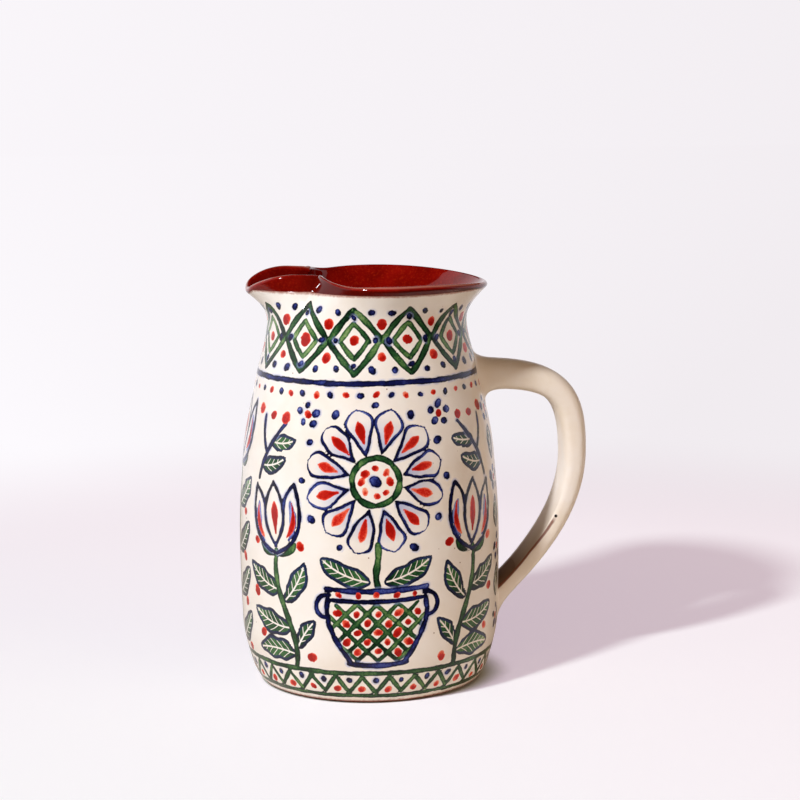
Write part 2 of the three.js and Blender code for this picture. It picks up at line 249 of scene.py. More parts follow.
# The finished outside as a sheet of columns and rows: the profile is spun round, and the pull moves its
# upper rows
PULL_SIZES = {
    "Columns": COLUMNS, "Neck": NECK_Z, "Lip": LIP_Z, "Ease": 1.6, "Pinch Angle": 42.0,
    "Fold Start": 9.0, "Fold End": 102.0, "Fold Sharpness": 1.8, "Pinch Depth": 22.0,
    "Crest Angle": 34.5, "Rise End": 78.0, "Pinch Rise": 4.8, "Beak Drop": 4.3,
    "Back Start": 105.0, "Back Drop": 3.0, "Material": red_earthenware}
tree, given = new_tree("throw and pull", PULL_SIZES)
profile = given["Geometry"]
rows = add(tree, "GeometryNodeAttributeDomainSize", {"Geometry": profile}).outputs["Point Count"]
sheet, column, row = new_sheet(tree, given["Columns"], rows)
turn = times(tree, calc(tree, "DIVIDE", column, given["Columns"]), 360)
from_beak = calc(tree, "ABSOLUTE", calc(tree, "SUBTRACT", turn, 180))
here = add(tree, "GeometryNodeInputPosition")
thrown = axes_of(tree, sampled(tree, profile, here, row))
softness = calc(tree, "POWER", ranged(tree, thrown["Z"], given["Neck"], given["Lip"]), given["Ease"])
fold = calc(tree, "MINIMUM", *(ranged(tree, from_beak, given[far_end], given["Pinch Angle"])
                               for far_end in ("Fold Start", "Fold End")))
fold = calc(tree, "POWER", fold, given["Fold Sharpness"])
less = {name: times(tree, given[name], -1)
        for name in ("Pinch Depth", "Pinch Rise", "Beak Drop", "Back Drop")}
pull_out = times(tree, fold, less["Pinch Depth"])
pull_up = 0
for start, end, before, after in ((0, given["Crest Angle"], less["Beak Drop"], given["Pinch Rise"]),
                                  (given["Pinch Angle"], given["Rise End"], 0, less["Pinch Rise"]),
                                  (given["Back Start"], 180, 0, less["Back Drop"])):
    move = ranged(tree, from_beak, start, end, before, after, eased=True)
    pull_up = calc(tree, "ADD", pull_up, move)
radius = calc(tree, "MULTIPLY_ADD", softness, pull_out, thrown["X"])
height = calc(tree, "MULTIPLY_ADD", softness, pull_up, thrown["Z"])
angle = calc(tree, "RADIANS", turn)
x, y = (times(tree, radius, calc(tree, wave, angle)) for wave in ("COSINE", "SINE"))
spun = add(tree, "ShaderNodeCombineXYZ", {"X": x, "Y": y, "Z": height})
pulled = add(tree, "GeometryNodeSetPosition", {"Geometry": sheet, "Position": spun})
end_tree(tree, pulled, given)

heights = np.linspace(0, LIP_Z, ROWS)
radii = wall_radius(heights)
chain = bpy.data.meshes.new("wall profile")
chain.from_pydata(np.column_stack([radii, radii * 0, heights]), [(i, i + 1) for i in range(ROWS - 1)], [])
wall = points_of(grown("wall", chain, tree, PULL_SIZES)).reshape(COLUMNS, ROWS, 3)
up_wall = unit(np.gradient(wall, axis=1))
outward = unit(np.cross(np.roll(wall, -1, 0) - np.roll(wall, 1, 0), up_wall))
column_turn = np.arange(COLUMNS) * 2 * np.pi / COLUMNS


def under(height, depth):
    """A ring at a height up the unpulled wall and a depth under its outside, or at one per column."""
    row = np.broadcast_to(np.clip(height, 0, LIP_Z) / LIP_Z * (ROWS - 1), COLUMNS)
    low = np.minimum(row.astype(int), ROWS - 2)
    part = (row - low)[:, None]
    each = np.arange(COLUMNS)
    point, out = ((1 - part) * field[each, low] + part * field[each, low + 1]
                  for field in (wall, outward))
    return point - out * np.broadcast_to(depth, COLUMNS)[:, None]


def level(radius, z):
    """A flat ring about the axis."""
    x, y = radius * np.cos(column_turn), radius * np.sin(column_turn)
    return np.column_stack([x, y, np.full(COLUMNS, z)])


def inner_depth(z, coat):
    """Depth of the inside face under the outside, with the coat's thickness inside the clay."""
    t = np.clip((z - COLLAR_Z) / (LIP_Z - COLLAR_Z), 0, 1)
    thickness = WALL_THICKNESS + (LIP_THICKNESS - WALL_THICKNESS) * t * t * (3 - 2 * t)
    return COAT_DEPTH + thickness + coat


def lip_rings(coat, count):
    """Rings over the half-round lip, from its outside to its inside."""
    middle, reach = COAT_DEPTH + LIP_THICKNESS / 2, LIP_THICKNESS / 2 + coat
    turns = np.linspace(0, np.pi, count)
    return [under(LIP_Z, middle - reach * np.cos(t)) + up_wall[:, -1] * reach * np.sin(t) for t in turns]


def inside_rings(coat, count):
    """Rings down the inside wall, from the lip to the fillet."""
    return [under(z, inner_depth(z, coat)) for z in np.linspace(LIP_Z, FILLET_TOP, count)]


def floor_rings(coat, count):
    """Rings from the foot of the inside wall round the fillet and in across the floor."""
    centre = wall_radius(FILLET_TOP) - inner_depth(FILLET_TOP, 0) - FLOOR_FILLET
    reach = FLOOR_FILLET - coat
    bend = [level(centre + reach * np.cos(t), FILLET_TOP - reach * np.sin(t))
            for t in np.linspace(0, np.pi / 2, count)]
    flat = [level(centre * share, FLOOR_THICKNESS + coat) for share in np.linspace(0.85, 0.1, count)]
    return bend + flat


def lofted(name, rings, material, poles=()):
    """A closed piece through rings in millimetres, onto its poles or back to the first ring."""
    rings = np.asarray(rings)
    bands, count = rings.shape[:2]
    index = np.arange(bands * count).reshape(bands, count)
    after = np.roll(index, -1, 1)
    faces = np.stack([index, after, np.roll(after, -1, 0), np.roll(index, -1, 0)], -1)
    faces = faces[:bands - 1 if poles else bands].reshape(-1, 4).tolist()
    points = rings.reshape(-1, 3)
    if poles:
        first, last = bands * count, bands * count + 1
        faces += [(first, b, a) for a, b in zip(index[0].tolist(), after[0].tolist())]
        faces += [(last, a, b) for a, b in zip(index[-1].tolist(), after[-1].tolist())]
        points = np.vstack([points, poles])
    mesh = bpy.data.meshes.new(name)
    mesh.from_pydata(points * MM, [], faces)
    return dressed(name, mesh, material)


def dressed(name, mesh, material):
    """A piece of the jug: a smooth mesh at the origin in its material."""
    mesh.materials.clear()
    mesh.materials.append(material)
    mesh.shade_smooth()
    mesh.set_sharp_from_angle(angle=SHARP_ANGLE)
    return linked(name, mesh)


foot = []
for turn in np.linspace(0, math.pi / 2, FOOT_RINGS):
    inset = FOOT_BEVEL * (1 - math.sin(turn))
    foot.append(level(TURN_RADII[0] - COAT_BACK - inset, FOOT_BEVEL * (1 - math.cos(turn))))
clay_outside = [under(z, COAT_BACK) for z in np.linspace(FOOT_BEVEL * 1.5, LIP_Z, OUTER_RINGS)]
clay_inside = inside_rings(CLAY_PROUD, INNER_RINGS) + floor_rings(CLAY_PROUD, FLOOR_RINGS)[1:]
clay_rings = np.array(foot + clay_outside + lip_rings(CLAY_PROUD, LIP_RINGS)[1:-1] + clay_inside)[:, ::2]
thrown_body = lofted("thrown_body", clay_rings, red_earthenware,
                     [(0, 0, 0), (0, 0, FLOOR_THICKNESS + CLAY_PROUD)])
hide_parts("thrown_body")
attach(thrown_body, "root")

# Handle strap
# A strap of the same clay, pulled by hand to a rounded section with a flatter inner face, thinning to its
# lower end. It is bent while soft, luted to the wall at both roots, and coated with ivory slip and glaze.
UPPER_ROOT_Z, LOWER_ROOT_Z, WIDEST_Z = 147.5, 37.5, 107.5
HANDLE_REACH = 40.5
LOWER_ANGLE = math.radians(44)
ROOT_STUB = 15
STUB_PULL, UPPER_PULL, CROWN_PULL, BELLY_PULL, LOWER_PULL = 4, 40, 30, 28, 28
PATH_STEPS = 48
STRAP_RINGS, STRAP_SIDES = 260, 64
SHOWN_RINGS = 180
STRAP_SUNK = 1.5
THINS_ALONG = (0.07, 0.93)
STRAP_SIZES = {"Rings": STRAP_RINGS, "Sides": STRAP_SIDES, "Width": 22.0, "Thickness Top": 15.0,
               "Thickness End": 8.6, "Outer Squareness": 2.5, "Inner Squareness": 3.6,
               "Material": red_earthenware}

upper_root, widest, lower_root = (
    Vector((wall_radius(z) + reach, 0, z))
    for z, reach in ((UPPER_ROOT_Z, 0), (WIDEST_Z, HANDLE_REACH), (LOWER_ROOT_Z, 0)))
upper_way = Vector((1, 0, 0))
upright = Vector((0, 0, 1))
lower_way = Vector((math.cos(LOWER_ANGLE), 0, math.sin(LOWER_ANGLE)))
knots = [(upper_root - upper_way * ROOT_STUB, upper_way, -STUB_PULL, STUB_PULL),
         (upper_root, upper_way, -STUB_PULL, UPPER_PULL),
         (widest, upright, CROWN_PULL, -BELLY_PULL),
         (lower_root, lower_way, LOWER_PULL, -STUB_PULL),
         (lower_root - lower_way * ROOT_STUB, lower_way, STUB_PULL, -STUB_PULL)]
strap_path = bpy.data.curves.new("strap path", "CURVE")
strap_path.dimensions = "3D"
strap_path.resolution_u = PATH_STEPS
spline = strap_path.splines.new("BEZIER")
spline.bezier_points.add(len(knots) - 1)
for knot, (at, way, back, ahead) in zip(spline.bezier_points, knots):
    knot.co, knot.handle_left, knot.handle_right = at, at + way * back, at + way * ahead


def vector(tree, operation, *values):
    """A Vector Math node on vectors and links."""
    return add(tree, "ShaderNodeVectorMath", dict(enumerate(values)), operation=operation)


tree, given = new_tree("pull the strap", STRAP_SIZES)
sheet, ring, side = new_sheet(tree, given["Rings"], given["Sides"])
share = calc(tree, "DIVIDE", ring, calc(tree, "SUBTRACT", given["Rings"], 1))
path = add(tree, "GeometryNodeSampleCurve", {"Curves": given["Geometry"], "Factor": share}).outputs
turn = times(tree, calc(tree, "DIVIDE", side, given["Sides"]), math.tau)
cosine, sine = (calc(tree, wave, turn) for wave in ("COSINE", "SINE"))
is_inner = calc(tree, "LESS_THAN", cosine, 0)
squareness = add(tree, "ShaderNodeMix", {"Factor": is_inner, "A": given["Outer Squareness"],
                                         "B": given["Inner Squareness"]})
power = calc(tree, "DIVIDE", 2, squareness)
thickness = ranged(tree, share, *THINS_ALONG, given["Thickness Top"], given["Thickness End"])
half = []
for size, wave in ((thickness, cosine), (given["Width"], sine)):
    bulge = calc(tree, "POWER", calc(tree, "ABSOLUTE", wave), power)
    bulge = times(tree, calc(tree, "SIGN", wave), bulge)
    half.append(times(tree, size, bulge, 0.5))
off_path = vector(tree, "CROSS_PRODUCT", path["Tangent"], (0, 1, 0))
lifted = add(tree, "ShaderNodeVectorMath", {0: off_path, "Scale": half[0]}, operation="SCALE")
sideways = add(tree, "ShaderNodeCombineXYZ", {"Y": half[1]})
placed = vector(tree, "ADD", vector(tree, "ADD", path["Position"], lifted), sideways)
bent = add(tree, "GeometryNodeSetPosition", {"Geometry": sheet, "Position": placed})
end_tree(tree, bent, given)
strap = points_of(grown("strap", strap_path, tree, STRAP_SIZES)).reshape(STRAP_RINGS, STRAP_SIDES, 3)
strap_out = unit(np.cross(np.gradient(strap, axis=0), np.roll(strap, -1, 1) - np.roll(strap, 1, 1)))
each_side = np.arange(STRAP_SIDES)


def comes_out(rings):
    """Ring number, with its fraction, where each side of the strap leaves the wall."""
    clear = np.hypot(rings[..., 0], rings[..., 1]) - wall_radius(rings[..., 2])
    after = np.argmax(clear > 0, axis=0)
    inside, outside = clear[after - 1, each_side], clear[after, each_side]
    return after - outside / (outside - inside)


def along_strap(rings, number):
    """Points of the strap's sides at ring numbers with fractions."""
    low = np.clip(np.floor(number).astype(int), 0, STRAP_RINGS - 2)
    part = (number - low)[..., None]
    return (1 - part) * rings[low, each_side] + part * rings[low + 1, each_side]


upper_out = comes_out(strap)
lower_out = STRAP_RINGS - 1 - comes_out(strap[::-1])
ring_step = np.linalg.norm(np.diff(strap.mean(1), axis=0), axis=1).mean()
sunk = STRAP_SUNK / ring_step
shares = np.linspace(0, 1, SHOWN_RINGS)[:, None]
shown_rings = along_strap(strap, upper_out - sunk + shares * (lower_out - upper_out + 2 * sunk))
PIT_ALONG, PIT_AROUND = 0.688, 0.703
ARRIS_AROUND = 0.655
SPECK_CORE = 0.02
pit = shown_rings[round(PIT_ALONG * (SHOWN_RINGS - 1)), round(PIT_AROUND * STRAP_SIDES)] * MM


def specked(tree, place, ground, colour, pitch, reach):
    """A ground with iron specks, at about a pitch in millimetres."""
    cells = add(tree, "ShaderNodeTexVoronoi", {"Vector": place, "Scale": 1 / (pitch * MM)})
    return mixed(tree, ranged(tree, cells, reach, SPECK_CORE), ground, colour)


def stored(tree, name):
    """A number that a piece stores at its points."""
    return add(tree, "ShaderNodeAttribute", attribute_name=name).outputs["Fac"]


# Ivory slip under clear glaze: a warm, glossy off-white with fine iron specks. The lower half of the
# inner face is browned, partly by thin slip and partly as painted shade of the jug's shadow on it. A
# firing crack runs down from one pit there.
ivory_slip, coat, place = new_material("ivory_slip_under_glaze")
along, inward, aside, worked = (stored(coat, name) for name in ("along", "inward", "aside", "worked"))
around = calc(coat, "MULTIPLY_ADD", calc(coat, "ARCTAN2", aside, inward), 1 / math.tau, 0.5)
cloud = noise(coat, place, 18, 4, Roughness=0.6)
cream = ramp(coat, cloud, [(0.3, "#F6E9D5"), (0.52, "#FCF1E2"), (0.75, "#FEF6EC")])
cream = mixed(coat, worked, "#F7EDE0", cream)
ripple = noise(coat, place, 9, 2)
wander = calc(coat, "SUBTRACT", calc(coat, "MULTIPLY_ADD", ripple, 0.03, around), 0.015)
crack_line = ranged(coat, along, PIT_ALONG, 0.82, PIT_AROUND, ARRIS_AROUND)
from_crack = calc(coat, "ABSOLUTE", calc(coat, "SUBTRACT", wander, crack_line))
# Painted shade and thin slip: brown on the lower inner face, growing towards the lower end and stopping
# short of the far arris
low_end = ranged(coat, along, 0.6, 0.92)
inner_shade_and_thin_slip = ranged(coat, wander, ARRIS_AROUND + 0.005, ARRIS_AROUND - 0.02)
far_arris = ranged(coat, wander, 0.39, 0.48)
inner_shade_and_thin_slip = times(coat, inner_shade_and_thin_slip, low_end, far_arris)
ivory = mixed(coat, times(coat, inner_shade_and_thin_slip, 0.95), cream, "#664422")
crack = ranged(coat, from_crack, 0.034, 0.01, eased=True)
crack_start = ranged(coat, along, PIT_ALONG, PIT_ALONG + 0.02)
crack_load = ranged(coat, along, PIT_ALONG, 0.86, 0.85, 0.95)
crack = times(coat, crack, crack_start, crack_load)
ivory = mixed(coat, crack, ivory, "#7A3A1E")
# Painted shade of a pit: a near-black spot of colour where the mesh has no hole
pit_shade = ranged(coat, vector(coat, "DISTANCE", place, pit), 0.95 * MM, 0.55 * MM)
ivory = mixed(coat, pit_shade, ivory, "#1E120C")
ivory = specked(coat, place, ivory, "#7A5236", pitch=11, reach=0.045)
gloss = calc(coat, "MULTIPLY_ADD", inner_shade_and_thin_slip, 0.4, ranged(coat, cloud, 0.3, 0.7, 0.32, 0.42))
shaded(coat, ivory, gloss, bumped(coat, ripple, 0.25, 0.5), specular=0.3)

handle_strap = lofted("handle_strap", shown_rings[::-1], ivory_slip,
                      [shown_rings[-1].mean(0), shown_rings[0].mean(0)])


def mark_points(mesh, name, values):
    """Stores a number for each point of a mesh, and the last one on its poles."""
    values = np.append(values, np.full(len(mesh.vertices) - len(values), values[-1]))
    mesh.attributes.new(name, "FLOAT", "POINT").data.foreach_set("value", values.astype(np.float32))


def mark_rings(piece, turns, along, worked):
    """Marks rings with their place on the strap and finish, and points with the turn."""
    for name, ring_values in (("along", along), ("worked", worked)):
        mark_points(piece.data, name, np.repeat(ring_values, STRAP_SIDES))
    for name, turn_values in (("inward", -np.cos(turns)), ("aside", -np.sin(turns))):
        mark_points(piece.data, name, np.tile(turn_values, len(along)))


strap_turn = each_side * 2 * np.pi / STRAP_SIDES
mark_rings(handle_strap, strap_turn, shares[::-1, 0], np.ones(SHOWN_RINGS))
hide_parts("handle_strap")
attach(handle_strap, "root")

# Luting coils
# Soft clay pressed into the corner round each root of the strap and smoothed into wall and strap with a
# wet finger. The lower one is smeared down into a tail. Both are coated with the strap.
COIL_STEPS = 18
COIL_PROUD = 0.08
COIL_SUNK = 0.8


def luting_coil(name, rings, out, length, inner, outer, rise):
    """A hollow fillet from the wall to the strap, round the root at the first rings."""
    root = comes_out(rings)
    corner = along_strap(rings, root)
    end, end_out = (along_strap(field, root + length / ring_step) for field in (rings, out))
    flare = inner + (outer - inner) * (1 + np.cos(strap_turn)) / 2
    y = corner[:, 1] + flare * np.sin(strap_turn)
    z = corner[:, 2] + flare * np.cos(strap_turn) * rise
    reach = np.sqrt(wall_radius(z) ** 2 - y ** 2)
    wall_foot = np.column_stack([reach + COIL_PROUD, y, z])
    sunk_foot = np.column_stack([reach - COIL_SUNK, y, z])
    edge = end + end_out * COIL_PROUD
    fillet = [(1 - t) ** 2 * wall_foot + 2 * t * (1 - t) * corner + t * t * edge
              for t in np.linspace(0, 1, COIL_STEPS)]
    skin = [sunk_foot, *fillet, end - end_out * COIL_SUNK, corner - [COIL_SUNK * 2, 0, 0]]
    order = -1 if rise > 0 else 1
    piece = lofted(name, [ring[::order] for ring in skin], ivory_slip)
    worked = np.concatenate([[0], np.linspace(0, 1, COIL_STEPS), [1, 1]])
    mark_rings(piece, strap_turn[::order], np.full(len(skin), rise < 0), worked)
    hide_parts(name)
    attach(piece, "root")


luting_coil("upper_luting_coil", strap, strap_out, length=11, inner=7, outer=6, rise=1)
luting_coil("lower_luting_coil", strap[::-1], strap_out[::-1], length=13, inner=2, outer=9, rise=-1)

# Slip coat
# White slip over the outside, from just above the foot to a line under the lip, painted by brush with
# cobalt, copper and iron, and covered with clear glaze. The painting is a plain country pattern of plants
# and bands.
BARE_FOOT = 1.2
BARE_LIP = 1.9
BARE_LIP_LEAST = 0.1
SLIP_EDGE = 0.3
FRONT_SHARES = np.linspace(0, 1, 184)
BACK_SHARES = np.concatenate([np.linspace(1, 0.72, 10), np.linspace(0.65, 0, 9)])

lip_edge = wall[:, -1, 2]
slip_line = np.minimum(LIP_Z - BARE_LIP, lip_edge - BARE_LIP_LEAST)
slip_top = np.array([np.interp(line, column[:, 2], heights) for line, column in zip(slip_line, wall)])
slip_span = slip_top - BARE_FOOT
slip_outside, slip_inside = (
    [under(BARE_FOOT + share * slip_span, depth) for share in up_shares]
    for up_shares, depth in ((FRONT_SHARES, 0), (BACK_SHARES, COAT_BACK)))
slip_rings = [*slip_outside, under(slip_top + SLIP_EDGE, COAT_BACK / 2), *slip_inside,
              under(BARE_FOOT - SLIP_EDGE, COAT_BACK / 2)]

# Brush marks are rows of points on the wall. Each knows half the stroke's width, the load of pigment, the
# distance along the stroke and the direction across it
MARK_STEP = 0.4
SIDE_STEP = 0.5
LOAD_SPREAD, LOAD_RIPPLE, WIDTH_RIPPLE = 0.16, 0.12, 0.1
hand = np.random.default_rng(11)
rises = np.concatenate([[0], np.cumsum(np.hypot(np.diff(radii), np.diff(heights)))])
marks = {"leaf": [], "petal": [], "copper": [], "cobalt": [], "iron": []}
SWELLS = {
    "even": lambda t: 0.8 + 0.2 * np.sin(np.pi * t) ** 0.5,
    "leaf": lambda t: np.sin(np.pi * t ** 0.9) ** 0.62,
    "petal": lambda t: np.sin(np.pi * t ** 1.7) ** 0.6 * 0.97 + 0.03,
    "line": np.ones_like,
    "drop": lambda t: 0.25 + 0.75 * np.sin(np.pi * t ** 1.5) ** 0.8,
}


def on_wall(turn, rise):
    """Points of the outside at angles in degrees and distances up from the foot."""
    column = np.mod(turn, 360) / 360 * COLUMNS
    row = np.clip(np.interp(rise, rises, np.arange(ROWS)), 0, ROWS - 1.001)
    left, low = np.floor(column).astype(int) % COLUMNS, np.floor(row).astype(int)
    right = (left + 1) % COLUMNS
    u, v = (column - np.floor(column))[:, None], (row - low)[:, None]
    return (1 - v) * ((1 - u) * wall[left, low] + u * wall[right, low]) + v * (
        (1 - u) * wall[left, low + 1] + u * wall[right, low + 1])


def stroke(pigment, at, path, width, load=0.7, swell="even", shake=0.4, drain=0.5):
    """One brush stroke along a Bézier path in millimetres about an angle and a rise on the wall."""
    path = np.array(path, float) + hand.normal(0, shake, np.shape(path))
    degree = len(path) - 1
    length = np.linalg.norm(np.diff(path, axis=0), axis=1).sum()
    t = np.linspace(0, 1, max(3, int(length / MARK_STEP)))
    line = sum(math.comb(degree, k) * (t ** k * (1 - t) ** (degree - k))[:, None] * path[k]
               for k in range(degree + 1))
    way = unit(np.gradient(line, axis=0))
    degrees_per_mm = math.degrees(1 / np.interp(at[1] + line[:, 1].mean(), rises, radii))
    point = on_wall(at[0] + line[:, 0] * degrees_per_mm, at[1] + line[:, 1])
    aside = line + SIDE_STEP * np.column_stack([-way[:, 1], way[:, 0]])
    side = unit(on_wall(at[0] + aside[:, 0] * degrees_per_mm, at[1] + aside[:, 1]) - point)
    pressed = load * (1 + drain * (0.5 - t)) + drain * hand.normal(0, LOAD_SPREAD)
    pressed += LOAD_RIPPLE * np.sin(t * length / hand.uniform(2, 5) + hand.uniform(0, 6))
    wave = np.sin(t * length / hand.uniform(1.5, 3) + hand.uniform(0, 6))
    half = width / 2 * SWELLS[swell](t) * (1 + WIDTH_RIPPLE * wave)
    marks[pigment].append(np.column_stack([point, half, pressed, t * length, side]))


def polar(x, y, reach, angle):
    """The place at a distance and an angle from another."""
    return x + reach * math.cos(angle), y + reach * math.sin(angle)


def dot(pigment, at, x, y, radius, load=0.8):
    """One touch of the brush tip: a short, slightly oval stroke."""
    lean = hand.uniform(0, np.pi)
    ends = [polar(x, y, reach, lean) for reach in (-0.22 * radius, 0.22 * radius)]
    stroke(pigment, at, ends, 2 * radius * hand.uniform(0.9, 1.08), load)


def berry(at, x, y, radius=2.5):
    """A red berry, wetter on one side."""
    dot("iron", at, x, y, radius, hand.uniform(0.5, 0.95))


def leaf(at, base, tip, width, bow=0.16):
    """A veined leaf from its base to its tip, bowed to one side."""
    base, tip = np.array(base, float), np.array(tip, float)
    middle = (base + tip) / 2 + bow * np.array([-(tip - base)[1], (tip - base)[0]])
    stroke("leaf", at, [base, middle, tip], width, hand.uniform(0.5, 0.85), "leaf", 0.2)


def floret(at, x, y, reach=4.8):
    """Five blue touches round a red one."""
    for k in range(5):
        touch = polar(x, y, reach, math.radians(90 + 72 * k))
        dot("cobalt", at, *touch, 2.0, hand.uniform(0.45, 0.8))
    dot("iron", at, x, y, 1.9)


def tulip(at, x, y, lean=0.0, size=1.0):
    """A tulip head: three outlined petals with a red stroke in each, on a green calyx."""
    def brush(pigment, points, width, load=0.85, swell="even"):
        c, s = math.cos(lean), math.sin(lean)
        path = [(x + size * (px * c + py * s), y + size * (py * c - px * s)) for px, py in points]
        stroke(pigment, at, path, width * size, load, swell, 0.3)
    for s in (-1, 1):
        brush("cobalt", [(8 * s, 6), (14 * s, 12), (11 * s, 24)], 4.2, 0.05, "drop")
        brush("cobalt", [(13 * s, 32), (21 * s, 6), (0, 0)], 2.3)
        brush("cobalt", [(13 * s, 32), (6 * s, 26), (6.5 * s, 18)], 2.1)
        brush("cobalt", [(0, 33), (12 * s, 18), (0, 3)], 2.1)
        brush("iron", [(11 * s, 23), (13.5 * s, 13), (7.5 * s, 7)], 3.0, 0.8, "drop")
    brush("iron", [(0, 9), (0, 24)], 4.4, 0.85, "drop")
    for s in (-1, 1):
        brush("copper", [(1 * s, -1), (8 * s, -1), (11 * s, 5)], 3.6, 0.85, "drop")


PETALS = 12
CORE_SIDES, CORE_RADIUS = 8, 11.0


def rosette(at, x, y):
    """A large open flower: outlined petals with a red drop in each, round a dotted green core."""
    for k in range(PETALS):
        a, b = math.tau * (k + 0.5) / PETALS, math.tau * k / PETALS
        petal = [polar(x, y, reach, a) for reach in (12.5, 24, 34)]
        stroke("petal", at, petal, 13.4, 0.85, "petal", 0.35)
        drop = [polar(x, y, reach, a) for reach in (18, 28.5)]
        stroke("iron", at, drop, 4.4, hand.uniform(0.55, 0.9), "drop", 0.3)
        if math.sin(b) > -0.99:
            dot("cobalt", at, *polar(x, y, 35.6, b), 1.9, 0.75)
    bend = CORE_RADIUS / math.cos(math.pi / CORE_SIDES)
    for k in range(CORE_SIDES):
        a, b = math.tau * k / CORE_SIDES, math.tau * (k + 1) / CORE_SIDES
        arc = [polar(x, y, CORE_RADIUS, a), polar(x, y, bend, (a + b) / 2), polar(x, y, CORE_RADIUS, b)]
        stroke("copper", at, arc, 3.2, 0.8, "even", 0.15)
        dot("iron", at, *polar(x, y, 6.6, a), 1.8, hand.uniform(0.5, 0.9))
    dot("cobalt", at, x, y, 2.7, 0.75)


POT_TOP, POT_FOOT = 54, 24


def pot_half_width(y):
    """Half the width of the painted flower pot at a height."""
    t = (y - POT_FOOT) / (POT_TOP - POT_FOOT)
    return 13 + 11 * np.sin(np.pi * 0.62 * np.clip(t, 0, 1))


def flower_pot(at):
    """A round blue pot, with a green trellis in it and a red berry in each mesh."""
    mesh_width, mesh_height = 9.6, 9.2
    heights_up = np.linspace(POT_FOOT, POT_TOP - 2.5, 61)
    for s in (-1, 1):
        for k in range(-6, 7):
            x = k * mesh_width + s * (heights_up - POT_FOOT) * mesh_width / mesh_height
            inside = np.flatnonzero(np.abs(x) < pot_half_width(heights_up) - 0.6)
            if len(inside) > 12:
                ends = [(x[i], heights_up[i]) for i in (inside[0], inside[-1])]
                stroke("copper", at, ends, 2.3, hand.uniform(0.5, 0.85), "even", 0.3)
    for row in range(7):
        for k in range(-3, 4):
            x = (k + 0.5 * (row % 2)) * mesh_width
            y = POT_FOOT + (row + 1) * mesh_height / 2
            if abs(x) < pot_half_width(y) - 3.4 and y < POT_TOP - 3:
                berry(at, x, y, 1.9)
    side = [(pot_half_width(y), y) for y in (POT_TOP, 49, 42, 36, 30, POT_FOOT)]
    for s in (-1, 1):
        for (x0, y0), (x1, y1) in zip(side, side[1:]):
            stroke("cobalt", at, [(s * x0, y0), (s * x1, y1)], 2.8, 0.85, "even", 0.1)
        stroke("cobalt", at, [(22 * s, 56), (32 * s, 57), (31 * s, 45), (24.5 * s, 45)], 2.4, 0.75)
    for y, reach, width in ((59, 24, 3.0), (54, 22, 2.4), (POT_FOOT - 1, 14, 3.0)):
        stroke("cobalt", at, [(-reach, y), (0, y - 2.5), (reach, y)], width, 0.85)
    for x in (-18, -9, 0, 9, 18):
        dot("iron", at, x, 55.8, 1.6)


def flowering_plant(turn):
    """A rosette in a pot between two tulips, with berry sprigs above."""
    at = (turn, 0)
    flower_pot(at)
    stroke("copper", at, [(0, 60), (-2, 66), (2, 72), (0, 80)], 3.4, 0.8)
    rosette(at, 0, 109)
    for s in (-1, 1):
        leaf(at, (3 * s, 62), (27 * s, 73), 11, -0.14 * s)
        stroke("copper", at, [(41 * s, 19), (36 * s, 38), (56 * s, 50), (51 * s, 74)], 3.4, 0.8)
        tulip(at, 51 * s, 73, 0.1 * s, 1.0)
        leaf(at, (40 * s, 25), (66 * s, 24), 12, 0.14 * s)
        leaf(at, (43 * s, 38), (69 * s, 44), 12, -0.16 * s)
        leaf(at, (40 * s, 28), (29 * s, 43), 8.5, -0.1 * s)
        leaf(at, (49 * s, 55), (72 * s, 66), 11.5, -0.18 * s)
        leaf(at, (47 * s, 50), (35 * s, 70), 10, 0.16 * s)
        for x, y in ((62, 33), (67, 52), (32, 24), (37, 78), (66, 77)):
            berry(at, x * s, y)
        stroke("cobalt", at, [(63 * s, 107), (60 * s, 120), (46 * s, 134)], 2.4, 0.75)
        stroke("cobalt", at, [(57 * s, 120), (62 * s, 128), (62 * s, 136)], 2.2, 0.75)
        leaf(at, (62 * s, 113), (45 * s, 118), 9, 0.18 * s)
        leaf(at, (55 * s, 125), (39 * s, 127), 8.5, 0.16 * s)
        for x, y, radius in ((44.5, 136.5, 2.8), (63, 139, 2.8), (53.5, 137, 2.4)):
            berry(at, x * s, y, radius)
        floret(at, 32 * s, 139, 4.6)


for turn in (-95, 95):
    flowering_plant(turn)

# A tall sprig under the beak, and florets beside the handle
at = (180, 0)
stroke("copper", at, [(0, 20), (-3, 60), (3, 90), (0, 110)], 3.2, 0.8)
tulip(at, 0, 110)
for s in (-1, 1):
    for y in (24, 46, 68, 90):
        leaf(at, (1.5 * s, y), (19 * s, y + 16), 11, -0.16 * s)
        berry(at, 13.5 * s, y - 2, 2.3)
for turn in (-22, 22):
    for y in (34, 68, 102, 136):
        floret((turn, y), 0, 0)
    for y in (51, 85, 119):
        leaf((turn, y), (0, -8), (0, 9), 9, 0.1)

# Band of lozenges round the neck, a row of dots below it, and a zigzag border round the foot
NECK_LOZENGES = 12
LINE_STROKES = 12
NECK_DOTS = 48
FOOT_TEETH = 30
TEETH_RISE = 11.3
for k in range(NECK_LOZENGES):
    at = (15 + 360 * k / NECK_LOZENGES, 174)
    for scale, width, load in ((1.0, 3.2, 0.85), (0.55, 2.6, 0.6)):
        corners = [(12.4 * scale, 0), (0, 15.2 * scale), (-12.4 * scale, 0), (0, -15.2 * scale)]
        for start, end in zip(corners, corners[1:] + corners[:1]):
            bow = (np.array(start) + end) * 0.54
            stroke("copper", at, [start, bow, end], width, load, "even", 0.25)
    dot("iron", at, 0, 0, 2.7)
    for x, y in ((0, 11.4), (0, -11.4), (9.2, 0), (-9.2, 0)):
        dot("cobalt", at, x, y, 1.6, 0.75)
    gap = (at[0] + 180 / NECK_LOZENGES, at[1])
    for y in (7.6, -7.6):
        berry(gap, 0, y, 2.6)
    for x, y in ((-5, 13.4), (5, 13.4), (-5, -13.4), (5, -13.4)):
        dot("cobalt", gap, x, y, 1.8, 0.75)
